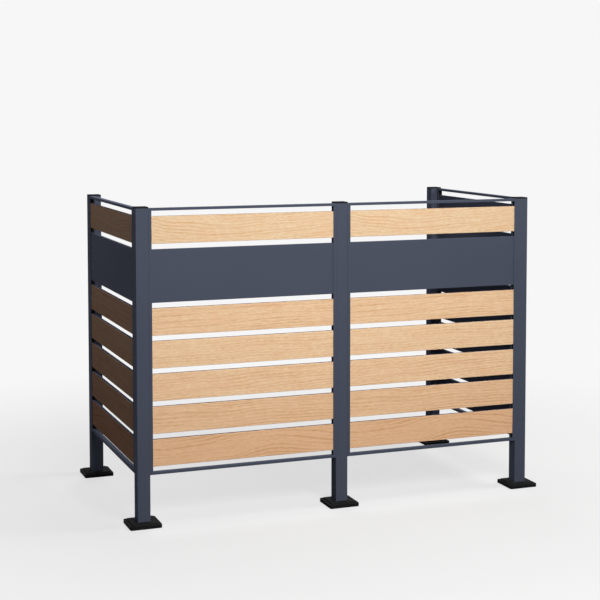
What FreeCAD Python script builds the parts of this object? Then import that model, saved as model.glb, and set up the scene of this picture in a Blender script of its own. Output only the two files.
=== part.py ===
import FreeCAD, Part
import math
import os
import Sketcher

# Slatted bin store: five posts carry three sides of slats round two bays.
# The back and the top are open. Millimetres, origin on the ground at the middle
# of the plan, +X to the right seen from the front, +Y to the open back, +Z up.

LOWER_SLATS = 5
SLAT_CHAMBERS = 3
WIDE_CHAMBERS = 6
LEVEL_TOLERANCE = 0.001

SIZES = {
    # Plan and posts
    "bayPitch": 970,
    "depthPitch": 970,
    "postSide": 60,
    "postWall": 2,
    "postCorner": 2,
    # Heights of what fills a wall
    "groundGap": 235,
    "slatHeight": 125,
    "wideHeight": 243,
    "slatGap": 25,
    # Rails and the channels that the slats stand in
    "railHeight": 12,
    "railWall": 1.5,
    "channelWidth": 25,
    "channelDepth": 13.5,
    "channelWall": 2,
    # Slats, hollow with closed long edges
    "slatThickness": 16,
    "slatSkin": 1.6,
    "slatBevel": 1.2,
    "slatEndGap": 3,
    "slatFrontGap": 0.2,
    # Spacers and packing strips inside the channels
    "spacerRecess": 1.5,
    "spacerBevel": 0.8,
    "stripReach": 9,
    # Base plate welded to the post
    "plateSide": 120,
    "plateThickness": 8,
    "plateBevel": 6,
    "anchorSpacing": 90,
    "anchorHole": 11,
    # Cover that hides the base plate
    "coverSide": 148,
    "coverCorner": 10,
    "coverLowerHeight": 16,
    "coverTierSide": 124,
    "coverTierHeight": 6,
    "coverTierSlope": 25,
    "coverWall": 2,
    "coverPostGap": 0.3,
    # Cap pressed into the top of the post
    "capThickness": 6,
    "capBevel": 1.5,
    "capPlugDepth": 18,
    "capPlugWall": 2,
    "capFit": 0.2,
    # Brackets on the posts that carry the ends of the rails
    "bracketReach": 25,
    "bracketWall": 2.5,
    "bracketFit": 0.15,
}

doc = FreeCAD.newDocument("BinStore")
sheet = doc.addObject("Spreadsheet::Sheet", "Sizes")
for row, (name, value) in enumerate(SIZES.items(), start=1):
    sheet.set(f"A{row}", name)
    sheet.set(f"B{row}", str(value))
    sheet.setAlias(f"B{row}", name)
doc.recompute()

# Heights, as expressions on the sheet, from the ground up
RAIL_TOP = "(Sizes.groundGap + Sizes.railHeight)"
SLAT_STEP = "(Sizes.slatHeight + Sizes.slatGap)"


def lowerSlatFoot(index):
    return f"({RAIL_TOP} + Sizes.slatGap + {index} * {SLAT_STEP})"


WIDE_FOOT = lowerSlatFoot(LOWER_SLATS)
TOP_SLAT_FOOT = f"({WIDE_FOOT} + Sizes.wideHeight + Sizes.slatGap)"
TOP_RAIL_FOOT = f"({TOP_SLAT_FOOT} + {SLAT_STEP})"
POST_TOP = f"({TOP_RAIL_FOOT} + Sizes.railHeight)"

# Foot of each gap between neighbours in a wall, where a spacer stands
GAP_FEET = [RAIL_TOP]
for index in range(LOWER_SLATS):
    GAP_FEET.append(f"({lowerSlatFoot(index)} + Sizes.slatHeight)")
GAP_FEET.append(f"({WIDE_FOOT} + Sizes.wideHeight)")
GAP_FEET.append(f"({TOP_SLAT_FOOT} + Sizes.slatHeight)")

RAIL_FEET = {"bottom": "Sizes.groundGap", "top": TOP_RAIL_FOOT}

# Distances inwards from the outer face of a wall
CHANNEL_MID = "(Sizes.channelWidth / 2)"
SLAT_FRONT = "(Sizes.channelWall + Sizes.slatFrontGap)"
SLAT_MID = f"({SLAT_FRONT} + Sizes.slatThickness / 2)"
STRIP_THICKNESS = f"(Sizes.channelWidth - Sizes.channelWall - {SLAT_FRONT} - Sizes.slatThickness)"
STRIP_MID = f"(Sizes.channelWidth - Sizes.channelWall - {STRIP_THICKNESS} / 2)"

# Walls: turn about Z, middle of the outer face, and the pitch of the posts at its ends
FRONT_FACE = "-(Sizes.depthPitch + Sizes.postSide) / 2"
SIDE_FACE = "(Sizes.bayPitch + Sizes.postSide / 2)"
WALLS = {
    "front_left": {"turn": 0, "x": "-Sizes.bayPitch / 2", "y": FRONT_FACE, "pitch": "Sizes.bayPitch"},
    "front_right": {"turn": 0, "x": "Sizes.bayPitch / 2", "y": FRONT_FACE, "pitch": "Sizes.bayPitch"},
    "left_side": {"turn": -90, "x": f"-{SIDE_FACE}", "y": "0", "pitch": "Sizes.depthPitch"},
    "right_side": {"turn": 90, "x": SIDE_FACE, "y": "0", "pitch": "Sizes.depthPitch"},
}
ENDS = {"left": -1, "right": 1}

BACK_ROW = "Sizes.depthPitch / 2"
FRONT_ROW = "-Sizes.depthPitch / 2"
POSTS = {
    "front_left": ("-Sizes.bayPitch", FRONT_ROW),
    "front_middle": ("0", FRONT_ROW),
    "front_right": ("Sizes.bayPitch", FRONT_ROW),
    "back_left": ("-Sizes.bayPitch", BACK_ROW),
    "back_right": ("Sizes.bayPitch", BACK_ROW),
}


def number(expression):
    return float(sheet.evalExpression(expression))


def newBody(label):
    body = doc.addObject("PartDesign::Body", "Body")
    body.Label = label
    return body


def newSketch(body, plane, right="0", up="0", out="0"):
    sketch = body.newObject("Sketcher::SketchObject", "Sketch")
    role = f"{plane}_Plane"
    support = next(item for item in body.Origin.OriginFeatures if item.Role == role)
    sketch.AttachmentSupport = (support, [""])
    sketch.MapMode = "FlatFace"
    for axis, expression in (("x", right), ("y", up), ("z", out)):
        sketch.setExpression(f".AttachmentOffset.Base.{axis}", expression)
    return sketch


def bind(sketch, constraint, expression):
    index = sketch.addConstraint(constraint)
    sketch.setExpression(f"Constraints[{index}]", expression)


# Closed outline through corners given as pairs of expressions
def addOutline(sketch, corners):
    first = len(sketch.Geometry)
    count = len(corners)
    spots = [FreeCAD.Vector(number(across), number(along), 0) for across, along in corners]
    for index in range(count):
        sketch.addGeometry(Part.LineSegment(spots[index], spots[(index + 1) % count]), False)
    for index in range(count):
        following = first + (index + 1) % count
        sketch.addConstraint(Sketcher.Constraint("Coincident", first + index, 2, following, 1))
    for index, (across, along) in enumerate(corners):
        spot = spots[index]
        bind(sketch, Sketcher.Constraint("DistanceX", -1, 1, first + index, 1, spot.x), across)
        bind(sketch, Sketcher.Constraint("DistanceY", -1, 1, first + index, 1, spot.y), along)


# Rectangle about the sketch's origin, or about a height above it
def addRectangle(sketch, width, height, middle="0"):
    left, right = f"-({width}) / 2", f"({width}) / 2"
    low, high = f"{middle} - ({height}) / 2", f"{middle} + ({height}) / 2"
    addOutline(sketch, [(left, low), (right, low), (right, high), (left, high)])


# Rectangle about the sketch's origin with its four corners cut off at 45 degrees
def addBevelledRectangle(sketch, width, height, bevel):
    across, along = f"({width}) / 2", f"({height}) / 2"
    acrossCut, alongCut = f"({across} - {bevel})", f"({along} - {bevel})"
    corners = [
        (acrossCut, along),
        (f"-{acrossCut}", along),
        (f"-{across}", alongCut),
        (f"-{across}", f"-{alongCut}"),
        (f"-{acrossCut}", f"-{along}"),
        (acrossCut, f"-{along}"),
        (across, f"-{alongCut}"),
        (across, alongCut),
    ]
    addOutline(sketch, corners)


# Rectangle about the sketch's origin with its four corners rounded
def addRoundedRectangle(sketch, width, height, radius):
    halfWidth, halfHeight, bend = number(width) / 2, number(height) / 2, number(radius)
    first = len(sketch.Geometry)
    quarter = math.pi / 2
    insideX, insideY = halfWidth - bend, halfHeight - bend
    middles = [(insideX, insideY), (-insideX, insideY), (-insideX, -insideY), (insideX, -insideY)]
    up = FreeCAD.Vector(0, 0, 1)
    for corner, (across, along) in enumerate(middles):
        circle = Part.Circle(FreeCAD.Vector(across, along, 0), up, bend)
        arc = Part.ArcOfCircle(circle, corner * quarter, (corner + 1) * quarter)
        sketch.addGeometry(arc, False)
    for corner in range(4):
        start = sketch.Geometry[first + corner].EndPoint
        end = sketch.Geometry[first + (corner + 1) % 4].StartPoint
        sketch.addGeometry(Part.LineSegment(start, end), False)
    for corner in range(4):
        line = first + 4 + corner
        sketch.addConstraint(Sketcher.Constraint("Tangent", first + corner, 2, line, 1))
        sketch.addConstraint(Sketcher.Constraint("Tangent", line, 2, first + (corner + 1) % 4, 1))
        direction = "Horizontal" if corner % 2 == 0 else "Vertical"
        sketch.addConstraint(Sketcher.Constraint(direction, line))
        if corner:
            sketch.addConstraint(Sketcher.Constraint("Equal", first, first + corner))
    sketch.addConstraint(Sketcher.Constraint("Symmetric", first, 3, first + 2, 3, -1, 1))
    bind(sketch, Sketcher.Constraint("Radius", first, bend), radius)
    insideWidth, insideHeight = f"({width}) - 2 * ({radius})", f"({height}) - 2 * ({radius})"
    across = Sketcher.Constraint("DistanceX", first + 1, 3, first, 3, number(insideWidth))
    bind(sketch, across, insideWidth)
    along = Sketcher.Constraint("DistanceY", first + 3, 3, first, 3, number(insideHeight))
    bind(sketch, along, insideHeight)


# U from a web at the sketch's origin to the ends of two legs along its first axis
def addUOutline(sketch, reach, width, wall):
    half, inner = f"({width}) / 2", f"(({width}) / 2 - {wall})"
    corners = [
        ("0", f"-{half}"),
        (reach, f"-{half}"),
        (reach, f"-{inner}"),
        (wall, f"-{inner}"),
        (wall, inner),
        (reach, inner),
        (reach, half),
        ("0", half),
    ]
    addOutline(sketch, corners)


def addCircle(sketch, across, along, diameter):
    middle = FreeCAD.Vector(number(across), number(along), 0)
    circle = Part.Circle(middle, FreeCAD.Vector(0, 0, 1), number(diameter) / 2)
    index = sketch.addGeometry(circle, False)
    bind(sketch, Sketcher.Constraint("DistanceX", -1, 1, index, 3, middle.x), across)
    bind(sketch, Sketcher.Constraint("DistanceY", -1, 1, index, 3, middle.y), along)
    bind(sketch, Sketcher.Constraint("Diameter", index, number(diameter)), diameter)


def addPad(body, sketch, length, sides="One side", backwards=False):
    pad = body.newObject("PartDesign::Pad", "Pad")
    pad.Profile = sketch
    pad.SideType = sides
    pad.Reversed = backwards
    pad.setExpression("Length", length)
    sketch.Visibility = False
    return pad


# A pocket cuts against its sketch's normal unless it is told to run backwards
def addPocket(body, sketch, depth, sides="One side", backwards=False):
    pocket = body.newObject("PartDesign::Pocket", "Pocket")
    pocket.Profile = sketch
    pocket.SideType = sides
    pocket.Reversed = backwards
    pocket.setExpression("Length", depth)
    sketch.Visibility = False
    doc.recompute()
    before = pocket.BaseFeature.Shape.Volume
    if pocket.Shape.Volume >= before:
        raise RuntimeError(f"{body.Label}: a pocket cuts nothing")
    return pocket


def addChamfer(body, edges, size):
    chamfer = body.newObject("PartDesign::Chamfer", "Chamfer")
    chamfer.Base = (chamfer.BaseFeature, edges)
    chamfer.setExpression("Size", size)
    return chamfer


# Names of the edges of a shape that lie level at a given height
def levelEdges(shape, height):
    names = []
    for index, edge in enumerate(shape.Edges, start=1):
        box = edge.BoundBox
        if max(abs(box.ZMin - height), abs(box.ZMax - height)) < LEVEL_TOLERANCE:
            names.append(f"Edge{index}")
    return names


def placeAt(item, x, y, z, turn=0):
    item.Placement = FreeCAD.Placement(
        FreeCAD.Vector(0, 0, 0), FreeCAD.Rotation(FreeCAD.Vector(0, 0, 1), turn)
    )
    for axis, expression in (("x", x), ("y", y), ("z", z)):
        item.setExpression(f".Placement.Base.{axis}", expression)


# Place along a wall (from its middle, rightwards seen from outside), inwards
# from its outer face, and above the ground
def placeInWall(item, wall, along, inward, height, turn=0):
    shifts = {
        0: (f"+ ({along})", f"+ ({inward})"),
        -90: (f"+ ({inward})", f"- ({along})"),
        90: (f"- ({inward})", f"+ ({along})"),
    }
    shiftX, shiftY = shifts[wall["turn"]]
    placeAt(item, f"{wall['x']} {shiftX}", f"{wall['y']} {shiftY}", height, wall["turn"] + turn)


def clearLength(wall):
    return f"({wall['pitch']} - Sizes.postSide)"


# Square tube welded to a base plate that is bored for four ground anchors
def makePost(label):
    body = newBody(label)
    plate = newSketch(body, "XY")
    addBevelledRectangle(plate, "Sizes.plateSide", "Sizes.plateSide", "Sizes.plateBevel")
    spots = ("-Sizes.anchorSpacing / 2", "Sizes.anchorSpacing / 2")
    for across in spots:
        for along in spots:
            addCircle(plate, across, along, "Sizes.anchorHole")
    addPad(body, plate, "Sizes.plateThickness")
    tube = newSketch(body, "XY", out="Sizes.plateThickness")
    addRoundedRectangle(tube, "Sizes.postSide", "Sizes.postSide", "Sizes.postCorner")
    bore = "Sizes.postSide - 2 * Sizes.postWall"
    addRectangle(tube, bore, bore)
    addPad(body, tube, f"{POST_TOP} - Sizes.plateThickness")
    return body


# Two-tier shell, open below, that slides down the post over its base plate
def makeFootCover(label):
    body = newBody(label)
    lower = newSketch(body, "XY")
    addRoundedRectangle(lower, "Sizes.coverSide", "Sizes.coverSide", "Sizes.coverCorner")
    addPad(body, lower, "Sizes.coverLowerHeight")
    upper = newSketch(body, "XY", out="Sizes.coverLowerHeight")
    addRectangle(upper, "Sizes.coverTierSide", "Sizes.coverTierSide")
    tier = addPad(body, upper, "Sizes.coverTierHeight")
    tier.setExpression("TaperAngle", "-Sizes.coverTierSlope")
    top = "Sizes.coverLowerHeight + Sizes.coverTierHeight"
    slope = "Sizes.coverTierHeight * tan(Sizes.coverTierSlope)"
    lowerHollow = newSketch(body, "XY")
    lowerInside = "Sizes.coverSide - 2 * Sizes.coverWall"
    addRoundedRectangle(lowerHollow, lowerInside, lowerInside, "Sizes.coverCorner - Sizes.coverWall")
    addPocket(body, lowerHollow, "Sizes.coverLowerHeight - Sizes.coverWall", backwards=True)
    hollows = [
        (f"Sizes.coverTierSide - 2 * ({slope} + Sizes.coverWall)", f"{top} - Sizes.coverWall"),
        ("Sizes.postSide + 2 * Sizes.coverPostGap", top),
    ]
    for inside, height in hollows:
        hollow = newSketch(body, "XY")
        addRectangle(hollow, inside, inside)
        addPocket(body, hollow, height, backwards=True)
    return body


# Flat cap with a hollow plug that fits the bore of the post
def makeCap():
    body = newBody("post_cap")
    flange = newSketch(body, "XY")
    addRoundedRectangle(flange, "Sizes.postSide", "Sizes.postSide", "Sizes.postCorner")
    addPad(body, flange, "Sizes.capThickness")
    doc.recompute()
    rim = levelEdges(body.Shape, number("Sizes.capThickness"))
    addChamfer(body, rim, "Sizes.capBevel")
    plug = newSketch(body, "XY")
    outside = "Sizes.postSide - 2 * Sizes.postWall - 2 * Sizes.capFit"
    addRectangle(plug, outside, outside)
    inside = f"{outside} - 2 * Sizes.capPlugWall"
    addRectangle(plug, inside, inside)
    addPad(body, plug, "Sizes.capPlugDepth", backwards=True)
    return body


# U channel that stands between the rails against a post, its web to the post
def makeChannel(label):
    body = newBody(label)
    section = newSketch(body, "XY")
    addUOutline(section, "Sizes.channelDepth", "Sizes.channelWidth", "Sizes.channelWall")
    addPad(body, section, f"{TOP_RAIL_FOOT} - {RAIL_TOP}")
    return body


# Rectangular tube that closes a wall above or below
def makeRail(label, length):
    body = newBody(label)
    section = newSketch(body, "YZ")
    addRectangle(section, "Sizes.channelWidth", "Sizes.railHeight")
    insideWidth = "Sizes.channelWidth - 2 * Sizes.railWall"
    addRectangle(section, insideWidth, "Sizes.railHeight - 2 * Sizes.railWall")
    addPad(body, section, length, sides="Symmetric")
    return body


# Extruded board, bevelled along its edges, with chambers parted by thin webs
def makeSlat(label, height, chambers, length):
    body = newBody(label)
    section = newSketch(body, "YZ")
    addBevelledRectangle(section, "Sizes.slatThickness", height, "Sizes.slatBevel")
    chamber = f"(({height}) - {chambers + 1} * Sizes.slatSkin) / {chambers}"
    for index in range(chambers):
        middle = f"{index - (chambers - 1) / 2} * ({chamber} + Sizes.slatSkin)"
        addRectangle(section, "Sizes.slatThickness - 2 * Sizes.slatSkin", chamber, middle)
    addPad(body, section, length, sides="Symmetric")
    return body


# Block that keeps two slats apart, standing in the channel
def makeSpacer():
    body = newBody("spacer")
    section = newSketch(body, "XY")
    near = "Sizes.channelWall"
    far = "Sizes.channelDepth - Sizes.spacerRecess"
    half, bevel = "Sizes.slatThickness / 2", "Sizes.spacerBevel"
    corners = [
        (near, f"-({half})"),
        (f"{far} - {bevel}", f"-({half})"),
        (far, f"-({half} - {bevel})"),
        (far, f"{half} - {bevel}"),
        (f"{far} - {bevel}", half),
        (near, half),
    ]
    addOutline(section, corners)
    addPad(body, section, "Sizes.slatGap")
    return body


# Strip that packs the slats against the outer flange of the channel
def makeStrip():
    body = newBody("strip")
    section = newSketch(body, "XY", right="Sizes.channelWall + Sizes.stripReach / 2")
    addRectangle(section, "Sizes.stripReach", STRIP_THICKNESS)
    addPad(body, section, f"{TOP_RAIL_FOOT} - {RAIL_TOP}")
    return body


# Bracket whose web lies on the post and whose legs fill the end of a rail
def makeBracket():
    body = newBody("bracket")
    section = newSketch(body, "XY")
    width = "Sizes.channelWidth - 2 * (Sizes.railWall + Sizes.bracketFit)"
    addUOutline(section, "Sizes.bracketReach", width, "Sizes.bracketWall")
    height = "Sizes.railHeight - 2 * (Sizes.railWall + Sizes.bracketFit)"
    addPad(body, section, height, sides="Symmetric")
    return body


# One node of many separate solids, each a link to the same piece
def makeGroup(label, links):
    group = doc.addObject("Part::Compound", "Group")
    group.Label = label
    group.Links = links
    return group


def linkTo(piece):
    link = doc.addObject("App::Link", "Link")
    link.LinkedObject = piece
    return link


nodes = []
cap = makeCap()
caps = []
for name, (x, y) in POSTS.items():
    for piece in (makePost(f"post_{name}"), makeFootCover(f"foot_cover_{name}")):
        placeAt(piece, x, y, "0")
        nodes.append(piece)
    capLink = linkTo(cap)
    placeAt(capLink, x, y, POST_TOP)
    caps.append(capLink)
nodes.append(makeGroup("post_caps", caps))

spacer = makeSpacer()
strip = makeStrip()
bracket = makeBracket()
groups = {"slat_spacers": [], "packing_strips": [], "rail_brackets": []}


def addToGroup(groupName, piece, wall, along, inward, height, turn):
    link = linkTo(piece)
    placeInWall(link, wall, along, inward, height, turn)
    groups[groupName].append(link)


for wallName, wall in WALLS.items():
    for level, foot in RAIL_FEET.items():
        rail = makeRail(f"{wallName}_{level}_rail", clearLength(wall))
        placeInWall(rail, wall, "0", CHANNEL_MID, f"{foot} + Sizes.railHeight / 2")
        nodes.append(rail)

    slatLength = f"{clearLength(wall)} - 2 * (Sizes.channelWall + Sizes.slatEndGap)"
    topSlat = makeSlat(f"{wallName}_slat_1", "Sizes.slatHeight", SLAT_CHAMBERS, slatLength)
    placeInWall(topSlat, wall, "0", SLAT_MID, f"{TOP_SLAT_FOOT} + Sizes.slatHeight / 2")
    nodes.append(topSlat)
    wide = makeSlat(f"{wallName}_wide_panel", "Sizes.wideHeight", WIDE_CHAMBERS, slatLength)
    placeInWall(wide, wall, "0", SLAT_MID, f"{WIDE_FOOT} + Sizes.wideHeight / 2")
    nodes.append(wide)
    for index in range(LOWER_SLATS):
        label = f"{wallName}_slat_{LOWER_SLATS + 1 - index}"
        slat = makeSlat(label, "Sizes.slatHeight", SLAT_CHAMBERS, slatLength)
        placeInWall(slat, wall, "0", SLAT_MID, f"{lowerSlatFoot(index)} + Sizes.slatHeight / 2")
        nodes.append(slat)

    for end, sign in ENDS.items():
        turn = 0 if sign < 0 else 180
        postFace = f"{sign} * {clearLength(wall)} / 2"
        channel = makeChannel(f"{wallName}_{end}_channel")
        placeInWall(channel, wall, postFace, CHANNEL_MID, RAIL_TOP, turn)
        nodes.append(channel)
        addToGroup("packing_strips", strip, wall, postFace, STRIP_MID, RAIL_TOP, turn)
        for foot in GAP_FEET:
            addToGroup("slat_spacers", spacer, wall, postFace, SLAT_MID, foot, turn)
        for foot in RAIL_FEET.values():
            height = f"{foot} + Sizes.railHeight / 2"
            addToGroup("rail_brackets", bracket, wall, postFace, CHANNEL_MID, height, turn)

for groupName, links in groups.items():
    nodes.append(makeGroup(groupName, links))

doc.recompute()

for item in doc.Objects:
    if "Invalid" in item.State or "Error" in item.State:
        raise RuntimeError(f"{item.Label} did not recompute")
for node in nodes:
    if node.Shape.isNull() or not node.Shape.isValid():
        raise RuntimeError(f"{node.Label} has no valid shape")

os.makedirs("parts", exist_ok=True)
for node in nodes:
    node.Shape.exportStep(f"parts/{node.Label}.step")
print(f"{len(nodes)} nodes, {sum(len(node.Shape.Solids) for node in nodes)} solids")
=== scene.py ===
import math

import bpy
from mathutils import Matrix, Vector


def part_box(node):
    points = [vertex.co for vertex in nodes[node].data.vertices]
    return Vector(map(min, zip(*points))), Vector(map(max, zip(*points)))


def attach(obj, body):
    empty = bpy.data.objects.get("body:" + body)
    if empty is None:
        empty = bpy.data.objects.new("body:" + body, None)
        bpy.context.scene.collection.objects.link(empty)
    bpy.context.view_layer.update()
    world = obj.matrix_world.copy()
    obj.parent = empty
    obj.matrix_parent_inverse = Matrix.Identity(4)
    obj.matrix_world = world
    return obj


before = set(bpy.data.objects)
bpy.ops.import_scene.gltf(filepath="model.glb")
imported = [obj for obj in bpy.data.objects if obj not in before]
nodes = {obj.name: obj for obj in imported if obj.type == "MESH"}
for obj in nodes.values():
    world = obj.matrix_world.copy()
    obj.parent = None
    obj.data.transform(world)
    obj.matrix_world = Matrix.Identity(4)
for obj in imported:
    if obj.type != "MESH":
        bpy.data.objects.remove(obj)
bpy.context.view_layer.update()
print("frame loaded:", len(nodes), "nodes")


# A socket that takes part in arithmetic: each operator adds a Math node
class Wire:
    def __init__(self, sheet, socket):
        self.sheet = sheet
        self.socket = socket

    def maths(self, operation, other=0.0):
        return self.sheet.calculate(operation, self, other)

    def __add__(self, other):
        return self.sheet.calculate("ADD", self, other)

    def __radd__(self, other):
        return self.sheet.calculate("ADD", other, self)

    def __sub__(self, other):
        return self.sheet.calculate("SUBTRACT", self, other)

    def __rsub__(self, other):
        return self.sheet.calculate("SUBTRACT", other, self)

    def __mul__(self, other):
        return self.sheet.calculate("MULTIPLY", self, other)

    def __rmul__(self, other):
        return self.sheet.calculate("MULTIPLY", other, self)

    def __truediv__(self, other):
        return self.sheet.calculate("DIVIDE", self, other)

    def __rtruediv__(self, other):
        return self.sheet.calculate("DIVIDE", other, self)

    def __pow__(self, other):
        return self.sheet.calculate("POWER", self, other)

    def __rpow__(self, other):
        return self.sheet.calculate("POWER", other, self)


# A node tree that is written as calls: shaders and geometry alike
class Sheet:
    def __init__(self, tree):
        self.tree = tree

    # settings go in before the sockets are read, because some of them change the sockets
    def add(self, kind, settings=None, inputs=None, take=0):
        node = self.tree.nodes.new(kind)
        for name, value in (settings or {}).items():
            setattr(node, name, value)
        for name, value in (inputs or {}).items():
            for part in value if isinstance(value, list) else [value]:
                if isinstance(part, Wire):
                    self.tree.links.new(part.socket, node.inputs[name])
                else:
                    node.inputs[name].default_value = part
        return Wire(self, node.outputs[take]) if node.outputs else None

    def calculate(self, operation, first, second):
        return self.add("ShaderNodeMath", {"operation": operation}, {0: first, 1: second})

    def noise(self, vector, scale, detail, roughness=0.5):
        inputs = {"Vector": vector, "Scale": scale, "Detail": detail, "Roughness": roughness}
        return self.add("ShaderNodeTexNoise", None, inputs)

    # noise with its own scale along X, Y and Z
    def drawnNoise(self, vector, scales, detail, roughness=0.5):
        drawn = self.add("ShaderNodeMapping", None, {"Vector": vector, "Scale": scales})
        return self.noise(drawn, 1.0, detail, roughness)

    def mixColours(self, factor, first, second):
        inputs = {0: factor, 6: first, 7: second}
        return self.add("ShaderNodeMix", {"data_type": "RGBA"}, inputs, take=2)

    def mixNumbers(self, factor, first, second):
        return self.add("ShaderNodeMix", {"data_type": "FLOAT"}, {0: factor, 2: first, 3: second})

    def mixShaders(self, factor, first, second):
        return self.add("ShaderNodeMixShader", None, {0: factor, 1: first, 2: second})

    # 0 below the start, 1 above the end, and smooth between them
    def rise(self, value, start, end):
        inputs = {"Value": value, "From Min": start, "From Max": end}
        return self.add("ShaderNodeMapRange", {"interpolation_type": "SMOOTHSTEP"}, inputs)

    def bump(self, height, strength, depth):
        inputs = {"Strength": strength, "Distance": depth, "Height": height}
        return self.add("ShaderNodeBump", None, inputs)


def newMaterial(name):
    material = bpy.data.materials.new(name)
    material.use_nodes = True
    material.node_tree.nodes.clear()
    return material, Sheet(material.node_tree)


def finishMaterial(sheet, **sockets):
    inputs = {name.replace("_", " "): value for name, value in sockets.items()}
    surface = sheet.add("ShaderNodeBsdfPrincipled", None, inputs)
    sheet.add("ShaderNodeOutputMaterial", None, {"Surface": surface})


def opaque(colour):
    return (*colour, 1.0)


def grey(level):
    return (level, level, level, 1.0)


coat = {
    "dark": (0.061, 0.070, 0.099),
    "light": (0.075, 0.085, 0.118),
    "cloudsPerMetre": 2.2,
    "cloudShare": 0.75,
    "peelPerMetre": 420,
    "peelShare": 0.6,
    "gritPerMetre": 1500,
    "roughness": (0.66, 0.76),
    "flake": 0.14,
    "edgeTint": (0.57, 0.66, 0.93),
    "gloss": 0.02,
    "bump": 0.08,
    "bumpDepth": 0.0004,
}


# Fine-textured powder coat with a little metal flake that turns blue at low angles:
# faint clouds and grit in the colour, orange peel and grit in the bump
def coatColour(sheet, place):
    clouds = sheet.noise(place, coat["cloudsPerMetre"], 3)
    grit = sheet.noise(place, coat["gritPerMetre"], 1)
    share = clouds * coat["cloudShare"] + grit * (1 - coat["cloudShare"])
    return sheet.mixColours(share, opaque(coat["dark"]), opaque(coat["light"])), clouds


def coatHeight(sheet, place):
    peel = sheet.noise(place, coat["peelPerMetre"], 1)
    grit = sheet.noise(place, coat["gritPerMetre"], 2)
    return peel * coat["peelShare"] + grit * (1 - coat["peelShare"])


def makeCoat(name):
    material, sheet = newMaterial(name)
    place = sheet.add("ShaderNodeTexCoord", take="Object")
    colour, clouds = coatColour(sheet, place)
    finishMaterial(
        sheet,
        Base_Color=colour,
        Metallic=coat["flake"],
        Roughness=sheet.mixNumbers(clouds, *coat["roughness"]),
        Specular_IOR_Level=coat["gloss"],
        Specular_Tint=opaque(coat["edgeTint"]),
        Normal=sheet.bump(coatHeight(sheet, place), coat["bump"], coat["bumpDepth"]),
    )
    return material


oak = {
    "cool": (0.89, 0.700, 0.460),
    "warm": (0.88, 0.560, 0.335),
    "late": (0.62, 0.320, 0.135),
    "rosy": (0.84, 0.500, 0.310),
    "pore": (0.36, 0.200, 0.100),
    # One value for each row of slats, from the top down
    "warmth": (0.0, 0.45, 0.30, 0.45, 0.68, 1.0),
    # Brightness of each row, set so that each lit row comes out at its tone: painted light and shade,
    # darker on the top row and lighter on the middle rows
    "paintedRowLight": (0.925, 1.0, 1.055, 1.06, 1.02, 0.985),
    "contrast": (1.05, 1.1, 0.75, 1.0, 1.1, 1.55),
    "hillHeight": (6.0, 2.1, 1.8, 4.0, 5.0, 7.0),
    # Marks per metre, along the board and across it
    "hills": (1.7, 3.2),
    "waver": (8.0, 30.0),
    "streaks": (4.0, 150.0),
    "flecks": (42.0, 300.0),
    "fibres": (12.0, 620.0),
    "pores": (60.0, 1500.0),
    "patches": (9.0, 26.0),
    "rowsApart": 3.7,
    "ringSpacing": 0.0135,
    "ringRowsApart": 5.1,
    "ringWaver": 0.9,
    "ringChange": (2.2, 0.8),
    "ringFade": (0.32, 0.72),
    "fineRings": 2.7,
    "fineFade": 0.6,
    "poreEdge": (0.60, 0.72),
    "patchEdge": (0.40, 0.70),
    # How much each one darkens or colours the board
    "lateStrength": 0.40,
    "fineStrength": 0.14,
    "streakStrength": 0.46,
    "fleckStrength": 1.35,
    "fibreStart": 0.35,
    "fibreStrength": 0.30,
    "poreStrength": 0.20,
    "patchStrength": 0.32,
    "ringsMiddle": 0.34,
    "lateMiddle": 0.27,
    "roughness": (0.52, 0.66),
    "gloss": 0.0,
    "bump": 0.20,
    "bumpDepth": 0.0004,
    # Height of the fibres, the late wood and the pores, and of the coat beside them
    "relief": (0.7, 0.2, 0.4),
    "coatRelief": 0.4,
}


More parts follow.
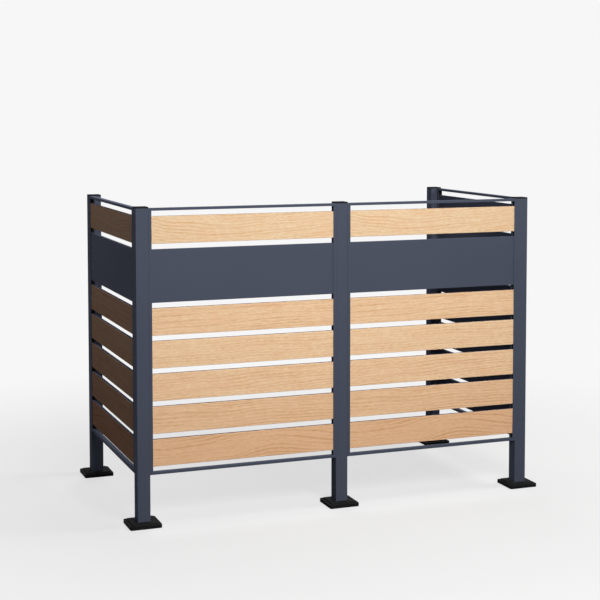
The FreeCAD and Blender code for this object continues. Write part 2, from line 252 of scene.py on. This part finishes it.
# Oak-effect face on a dark profile. Growth rings are level lines of a slow field, so they run
# the length of the board with gentle hills, each ring with its own strength
def makeOak(name, middle, wall, row):
    material, sheet = newMaterial(name)
    place = sheet.add("ShaderNodeTexCoord", take="Object")
    board = sheet.add("ShaderNodeVectorMath", {"operation": "SUBTRACT"}, {0: place, 1: middle})
    apart = sheet.add("ShaderNodeSeparateXYZ", None, {"Vector": board}).socket.node.outputs
    lengthways = Wire(sheet, apart[wall["along"]])
    across = Wire(sheet, apart["Z"])
    shift = row * oak["rowsApart"]
    flat = sheet.add("ShaderNodeCombineXYZ", None, {"X": lengthways, "Y": across, "Z": shift})

    def marks(kind, detail, roughness=0.5):
        return sheet.drawnNoise(flat, (*oak[kind], 1.0), detail, roughness)

    hills = (marks("hills", 1) - 0.5) * (2 * oak["hillHeight"][row - 1])
    rings = across / oak["ringSpacing"] + hills + (marks("waver", 2) - 0.5) * oak["ringWaver"]
    changeAlong, changeAcross = oak["ringChange"]
    ringPlace = sheet.add(
        "ShaderNodeCombineXYZ",
        None,
        {"X": lengthways * changeAlong, "Y": rings * changeAcross, "Z": row * oak["ringRowsApart"]},
    )
    strength = sheet.rise(sheet.noise(ringPlace, 1.0, 1), *oak["ringFade"])

    def waves(count):
        return (rings * (count * math.tau)).maths("SINE") * 0.5 + 0.5

    late = waves(1) ** 1.5 * strength
    fine = waves(oak["fineRings"]) ** 2.0 * (1.0 - strength * oak["fineFade"])
    drawn = late * oak["lateStrength"] + fine * oak["fineStrength"]
    streaked = drawn + marks("streaks", 2) * oak["streakStrength"]
    lines = (streaked - oak["ringsMiddle"]) * oak["contrast"][row - 1]
    lateShare = lines + (marks("flecks", 3, 0.6) - 0.5) * oak["fleckStrength"] + oak["lateMiddle"]

    fibres = marks("fibres", 3, 0.6)
    poreMask = sheet.rise(marks("pores", 1), *oak["poreEdge"])
    patches = sheet.rise(marks("patches", 2), *oak["patchEdge"])
    warmth, paintedRowLight = oak["warmth"][row - 1], oak["paintedRowLight"][row - 1]
    # The row's pale oak colour, scaled by the row brightness that carries painted light and shade
    paleOakWithPaintedRowLight = [(cool + (warm - cool) * warmth) * paintedRowLight for cool, warm in zip(oak["cool"], oak["warm"])]
    ground = sheet.mixColours(patches * oak["patchStrength"], opaque(paleOakWithPaintedRowLight), opaque(oak["rosy"]))
    ringed = sheet.mixColours(lateShare, ground, opaque(oak["late"]))
    fibreShare = (fibres - oak["fibreStart"]) * oak["fibreStrength"]
    fibred = sheet.mixColours(fibreShare, ringed, opaque(oak["late"]))
    grained = sheet.mixColours(poreMask * oak["poreStrength"], fibred, opaque(oak["pore"]))

    # Only the outer face is oak: the rest of the profile has the coat's colour
    facing = sheet.add("ShaderNodeNewGeometry", take="True Normal")
    ways = {0: facing, 1: wall["outward"]}
    agreement = sheet.add("ShaderNodeVectorMath", {"operation": "DOT_PRODUCT"}, ways, take="Value")
    outside = agreement.maths("GREATER_THAN", 0.5)
    dark, clouds = coatColour(sheet, place)
    woodRoughness = sheet.mixNumbers(fibres, *oak["roughness"])
    fibreRelief, lateRelief, poreRelief = oak["relief"]
    woodHeight = fibres * fibreRelief + late * lateRelief - poreMask * poreRelief
    height = sheet.mixNumbers(outside, coatHeight(sheet, place) * oak["coatRelief"], woodHeight)
    finishMaterial(
        sheet,
        Base_Color=sheet.mixColours(outside, dark, grained),
        Roughness=sheet.mixNumbers(outside, coat["roughness"][0], woodRoughness),
        Specular_IOR_Level=oak["gloss"],
        Normal=sheet.bump(height, oak["bump"], oak["bumpDepth"]),
    )
    return material


plastic = {
    "dark": (0.010, 0.010, 0.0105),
    "light": (0.017, 0.017, 0.0175),
    "flowPerMetre": 9,
    "grainPerMetre": 1100,
    "roughness": (0.60, 0.72),
    "gloss": 0.01,
    "bump": 0.05,
    "bumpDepth": 0.0003,
}


# Matt moulded plastic with a fine spark-eroded grain
def makePlastic(name):
    material, sheet = newMaterial(name)
    place = sheet.add("ShaderNodeTexCoord", take="Object")
    grain = sheet.noise(place, plastic["grainPerMetre"], 2)
    flow = sheet.noise(place, plastic["flowPerMetre"], 2)
    finishMaterial(
        sheet,
        Base_Color=sheet.mixColours(flow, opaque(plastic["dark"]), opaque(plastic["light"])),
        Roughness=sheet.mixNumbers(flow, *plastic["roughness"]),
        Specular_IOR_Level=plastic["gloss"],
        Normal=sheet.bump(grain, plastic["bump"], plastic["bumpDepth"]),
    )
    return material


rubber = {
    "dark": (0.014, 0.014, 0.014),
    "light": (0.026, 0.026, 0.025),
    "linesPerMetre": (900, 900, 6),
    "roughness": (0.74, 0.88),
    "bump": 0.15,
    "bumpDepth": 0.0003,
}


# Extruded rubber: matt, with fine lines up the strip
def makeRubber(name):
    material, sheet = newMaterial(name)
    place = sheet.add("ShaderNodeTexCoord", take="Object")
    lines = sheet.drawnNoise(place, rubber["linesPerMetre"], 1)
    finishMaterial(
        sheet,
        Base_Color=sheet.mixColours(lines, opaque(rubber["dark"]), opaque(rubber["light"])),
        Roughness=sheet.mixNumbers(lines, *rubber["roughness"]),
        Normal=sheet.bump(lines, rubber["bump"], rubber["bumpDepth"]),
    )
    return material


steel = {
    "dark": (0.50, 0.51, 0.52),
    "light": (0.66, 0.67, 0.68),
    "linesPerMetre": (120, 120, 2600),
    "roughness": (0.26, 0.38),
}


# Bright stainless steel with short drawn lines
def makeSteel(name):
    material, sheet = newMaterial(name)
    place = sheet.add("ShaderNodeTexCoord", take="Object")
    lines = sheet.drawnNoise(place, steel["linesPerMetre"], 2)
    finishMaterial(
        sheet,
        Base_Color=sheet.mixColours(lines, opaque(steel["dark"]), opaque(steel["light"])),
        Roughness=sheet.mixNumbers(lines, *steel["roughness"]),
        Metallic=1.0,
    )
    return material


walls = {
    "front_left": {"along": "X", "outward": (0.0, -1.0, 0.0)},
    "front_right": {"along": "X", "outward": (0.0, -1.0, 0.0)},
    "left_side": {"along": "Y", "outward": (-1.0, 0.0, 0.0)},
    "right_side": {"along": "Y", "outward": (1.0, 0.0, 0.0)},
}
slatCount = 6


def dress(node, material):
    slots = nodes[node].data.materials
    slots.clear()
    slots.append(material)


def dressFrame():
    coating = makeCoat("anthraciteCoat")
    plasticBlack = makePlastic("blackPlastic")
    steelBright = makeSteel("fixingSteel")
    others = {
        "post_caps": plasticBlack,
        "slat_spacers": plasticBlack,
        "packing_strips": makeRubber("stripRubber"),
        "rail_brackets": steelBright,
    }
    for node in nodes:
        if node.startswith("foot_cover_"):
            dress(node, plasticBlack)
        elif node in others:
            dress(node, others[node])
        elif "_slat_" not in node:
            dress(node, coating)
    return steelBright


# Boards of one row share their pattern, as a printed film does
def dressSlats():
    for wallName, wall in walls.items():
        for row in range(1, slatCount + 1):
            node = f"{wallName}_slat_{row}"
            low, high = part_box(node)
            dress(node, makeOak(f"oakFace_{wallName}_{row}", (low + high) / 2, wall, row))


fixingSteel = dressFrame()
print("frame dressed")
dressSlats()
print("slats dressed")


# Lengths in metres
screws = {
    "headRadius": 0.0038,
    "headHeight": 0.0020,
    "headSides": 28,
    "rimShare": 0.45,
    "crownShare": 0.72,
    "shankRadius": 0.0019,
    "shankLength": 0.0075,
    "shankSides": 16,
    "socketSides": 6,
    "socketRadius": 0.0016,
    "socketDepth": 0.0012,
    "besideSlats": (1, 2, 4, 6),
    "webThickness": 0.002,
}
screwInputs = {
    "Head radius": screws["headRadius"],
    "Head height": screws["headHeight"],
    "Shank radius": screws["shankRadius"],
    "Shank length": screws["shankLength"],
    "Socket radius": screws["socketRadius"],
    "Socket depth": screws["socketDepth"],
    "Finish": fixingSteel,
}


# Geometry Nodes tree: a screw with a domed head and a six-sided socket, looking along its own +Z,
# is put on every point of the mesh that it is given, turned by the point's turn attribute
def makeScrewTree():
    tree = bpy.data.node_groups.new("screwsOnPoints", "GeometryNodeTree")
    face = tree.interface
    face.new_socket("Geometry", in_out="INPUT", socket_type="NodeSocketGeometry")
    for label in screwInputs:
        kind = "NodeSocketMaterial" if label == "Finish" else "NodeSocketFloat"
        face.new_socket(label, in_out="INPUT", socket_type=kind)
    face.new_socket("Geometry", in_out="OUTPUT", socket_type="NodeSocketGeometry")
    sheet = Sheet(tree)
    given = tree.nodes.new("NodeGroupInput")
    size = {socket.name: Wire(sheet, socket) for socket in given.outputs}

    def rod(sides, radius, depth):
        inputs = {"Vertices": sides, "Radius": radius, "Depth": depth}
        return sheet.add("GeometryNodeMeshCylinder", None, inputs)

    def lift(shape, height):
        offset = sheet.add("ShaderNodeCombineXYZ", None, {"Z": height})
        return sheet.add("GeometryNodeTransform", None, {"Geometry": shape, "Translation": offset})

    rimDepth = size["Head height"] * screws["rimShare"]
    dome = sheet.add(
        "GeometryNodeMeshCone",
        None,
        {
            "Vertices": screws["headSides"],
            "Radius Bottom": size["Head radius"],
            "Radius Top": size["Head radius"] * screws["crownShare"],
            "Depth": size["Head height"] * (1 - screws["rimShare"]),
        },
    )
    rim = rod(screws["headSides"], size["Head radius"], rimDepth)
    socket = rod(screws["socketSides"], size["Socket radius"], size["Socket depth"] * 2)
    shank = rod(screws["shankSides"], size["Shank radius"], size["Shank length"])
    rimUp = lift(rim, rimDepth * 0.5)
    shankDown = lift(shank, size["Shank length"] * -0.5)
    domeCut = sheet.add(
        "GeometryNodeMeshBoolean",
        {"operation": "DIFFERENCE", "solver": "EXACT"},
        {"Mesh 1": lift(dome, rimDepth), "Mesh 2": lift(socket, size["Head height"])},
    )
    screw = sheet.add("GeometryNodeJoinGeometry", None, {"Geometry": [rimUp, domeCut, shankDown]})
    turn = sheet.add("GeometryNodeInputNamedAttribute", {"data_type": "FLOAT_VECTOR"}, {"Name": "turn"})
    points = sheet.add("GeometryNodeMeshToPoints", None, {"Mesh": size["Geometry"]})
    inputs = {"Points": points, "Instance": screw, "Rotation": turn}
    placed = sheet.add("GeometryNodeInstanceOnPoints", None, inputs)
    real = sheet.add("GeometryNodeRealizeInstances", None, {"Geometry": placed})
    done = sheet.add("GeometryNodeSetMaterial", None, {"Geometry": real, "Material": size["Finish"]})
    result = tree.nodes.new("NodeGroupOutput")
    tree.links.new(done.socket, result.inputs[0])
    return tree


def nearestPost(spot):
    middles = []
    for node in nodes:
        if node.startswith("post_") and node != "post_caps":
            low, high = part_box(node)
            middles.append((low + high) / 2)
    return min(middles, key=lambda middle: (middle.xy - spot.xy).length)


# Turn that takes the screw's own +Z to the way its head looks
def headTurn(axis, sign):
    if axis == 0:
        return (0.0, sign * math.pi / 2, 0.0)
    return (-sign * math.pi / 2, 0.0, 0.0)


# The four channel screws of every channel: the head on the inside of the web, the shank in the post
def screwSpots():
    spots = []
    turns = []
    for wallName, wall in walls.items():
        for end in ("left", "right"):
            low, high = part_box(f"{wallName}_{end}_channel")
            middle = (low + high) / 2
            away = middle - nearestPost(middle)
            axis = "XY".index(wall["along"])
            sign = 1 if away[axis] > 0 else -1
            face = low[axis] if sign > 0 else high[axis]
            for row in screws["besideSlats"]:
                slatLow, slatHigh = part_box(f"{wallName}_slat_{row}")
                spot = Vector((middle.x, middle.y, (slatLow.z + slatHigh.z) / 2))
                spot[axis] = face + sign * screws["webThickness"]
                spots.append(spot)
                turns.append(headTurn(axis, sign))
    return spots, turns


def makeScrews():
    spots, turns = screwSpots()
    mesh = bpy.data.meshes.new("screwPoints")
    mesh.from_pydata(spots, [], [])
    attribute = mesh.attributes.new("turn", "FLOAT_VECTOR", "POINT")
    for item, turn in zip(attribute.data, turns):
        item.vector = turn
    holder = bpy.data.objects.new("screwHolder", mesh)
    bpy.context.scene.collection.objects.link(holder)
    tree = makeScrewTree()
    modifier = holder.modifiers.new("screws", "NODES")
    modifier.node_group = tree
    for item in tree.interface.items_tree:
        if item.in_out == "INPUT" and item.name in screwInputs:
            modifier[item.identifier] = screwInputs[item.name]
    bpy.context.view_layer.update()
    evaluated = holder.evaluated_get(bpy.context.evaluated_depsgraph_get())
    plain = bpy.data.meshes.new_from_object(evaluated)
    bpy.data.objects.remove(holder)
    piece = bpy.data.objects.new("channel_screws", plain)
    bpy.context.scene.collection.objects.link(piece)
    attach(piece, "root")
    return piece


screwPiece = makeScrews()
print("screws made:", len(screwPiece.data.polygons), "faces")


studio = {
    "white": 0.93,
    "ambient": (0.032, 0.027, 0.033),
    "floorWhite": 0.56,
    "floorBounce": 0.005,
    "floorRadius": 14.0,
    "glowNear": 0.67,
    "glowFrom": 0.9,
    "glowTo": 3.6,
}


# Share of the rays that are meant to see the bright background: all but the diffuse ones
def raysThatSee(sheet):
    rays = sheet.add("ShaderNodeLightPath").socket.node.outputs
    seen = Wire(sheet, rays["Is Camera Ray"]) + Wire(sheet, rays["Is Glossy Ray"])
    return (seen + Wire(sheet, rays["Is Transmission Ray"])).maths("MINIMUM", 1.0)


# Pale floor: part of it is lit and takes the object's shadow, the rest is a plain glow that
# grows with the distance, so that the floor runs into the white surroundings
def makeFloor():
    material, sheet = newMaterial("studioFloor")
    place = sheet.add("ShaderNodeTexCoord", take="Object")
    distance = sheet.add("ShaderNodeVectorMath", {"operation": "LENGTH"}, {0: place}, take="Value")
    far = sheet.rise(distance, studio["glowFrom"], studio["glowTo"])
    lit = sheet.add("ShaderNodeBsdfDiffuse", None, {"Color": grey(studio["floorWhite"])})
    glow = sheet.add("ShaderNodeEmission", None, {"Color": grey(studio["white"]), "Strength": 1.0})
    bright = sheet.mixShaders(sheet.mixNumbers(far, studio["glowNear"], 1.0), lit, glow)
    bounce = sheet.add("ShaderNodeBsdfDiffuse", None, {"Color": grey(studio["floorBounce"])})
    surface = sheet.mixShaders(raysThatSee(sheet), bounce, bright)
    sheet.add("ShaderNodeOutputMaterial", None, {"Surface": surface})
    reach = studio["floorRadius"]
    corners = [(-reach, -reach, 0), (reach, -reach, 0), (reach, reach, 0), (-reach, reach, 0)]
    mesh = bpy.data.meshes.new("floor")
    mesh.from_pydata(corners, [], [(0, 1, 2, 3)])
    mesh.materials.append(material)
    floor = bpy.data.objects.new("floor", mesh)
    bpy.context.scene.collection.objects.link(floor)


def makeSurroundings():
    world = bpy.data.worlds.new("studio")
    world.use_nodes = True
    world.node_tree.nodes.clear()
    sheet = Sheet(world.node_tree)
    white = sheet.add("ShaderNodeBackground", None, {"Color": grey(studio["white"]), "Strength": 1.0})
    dim = sheet.add("ShaderNodeBackground", None, {"Color": opaque(studio["ambient"]), "Strength": 1.0})
    surface = sheet.mixShaders(raysThatSee(sheet), dim, white)
    sheet.add("ShaderNodeOutputWorld", None, {"Surface": surface})
    bpy.context.scene.world = world


lamps = {
    "key": {"place": (-0.15, -4.4, 3.2), "aim": (0.0, -0.5, 0.7), "size": (2.3, 1.6), "power": 226},
    "side": {"place": (4.4, -1.0, 4.6), "aim": (-0.5, 0.0, 0.3), "size": (1.8, 1.8), "power": 205},
    "back": {"place": (0.6, 4.0, 5.2), "aim": (0.0, 0.2, 0.6), "size": (3.0, 2.0), "power": 190},
    "left": {"place": (-3.2, 0.2, 3.3), "aim": (-0.9, 0.0, 1.0), "size": (1.6, 1.6), "power": 11.55},
}
# Lamps that aren't white
lampColours = {"left": (0.9524, 0.8857, 1.0)}


def makeLamps():
    for name, lamp in lamps.items():
        light = bpy.data.lights.new(name, "AREA")
        light.shape = "RECTANGLE"
        light.size, light.size_y = lamp["size"]
        light.energy = lamp["power"]
        light.color = lampColours.get(name, (1.0, 1.0, 1.0))
        item = bpy.data.objects.new(name, light)
        item.location = lamp["place"]
        item.rotation_mode = "QUATERNION"
        item.rotation_quaternion = (Vector(lamp["aim"]) - item.location).to_track_quat("-Z", "Y")
        bpy.context.scene.collection.objects.link(item)


view = {
    "place": (-2.5166, -6.6453, 1.8956),
    "turn": 21.022,
    "tilt": 3.617,
    "lens": 84.191,
    "sensor": 36.0,
    "shift": (-0.0173, -0.17),
}


def makeCamera():
    data = bpy.data.cameras.new("camera")
    data.lens = view["lens"]
    data.sensor_width = view["sensor"]
    data.shift_x, data.shift_y = view["shift"]
    camera = bpy.data.objects.new("camera", data)
    camera.location = view["place"]
    turn, tilt = math.radians(view["turn"]), math.radians(view["tilt"])
    ahead = Vector((math.sin(turn) * math.cos(tilt), math.cos(turn) * math.cos(tilt), -math.sin(tilt)))
    camera.rotation_mode = "QUATERNION"
    camera.rotation_quaternion = ahead.to_track_quat("-Z", "Y")
    bpy.context.scene.collection.objects.link(camera)
    bpy.context.scene.camera = camera


makeFloor()
makeSurroundings()
makeLamps()
makeCamera()
bpy.context.scene.view_settings.view_transform = "Standard"
print("studio ready")
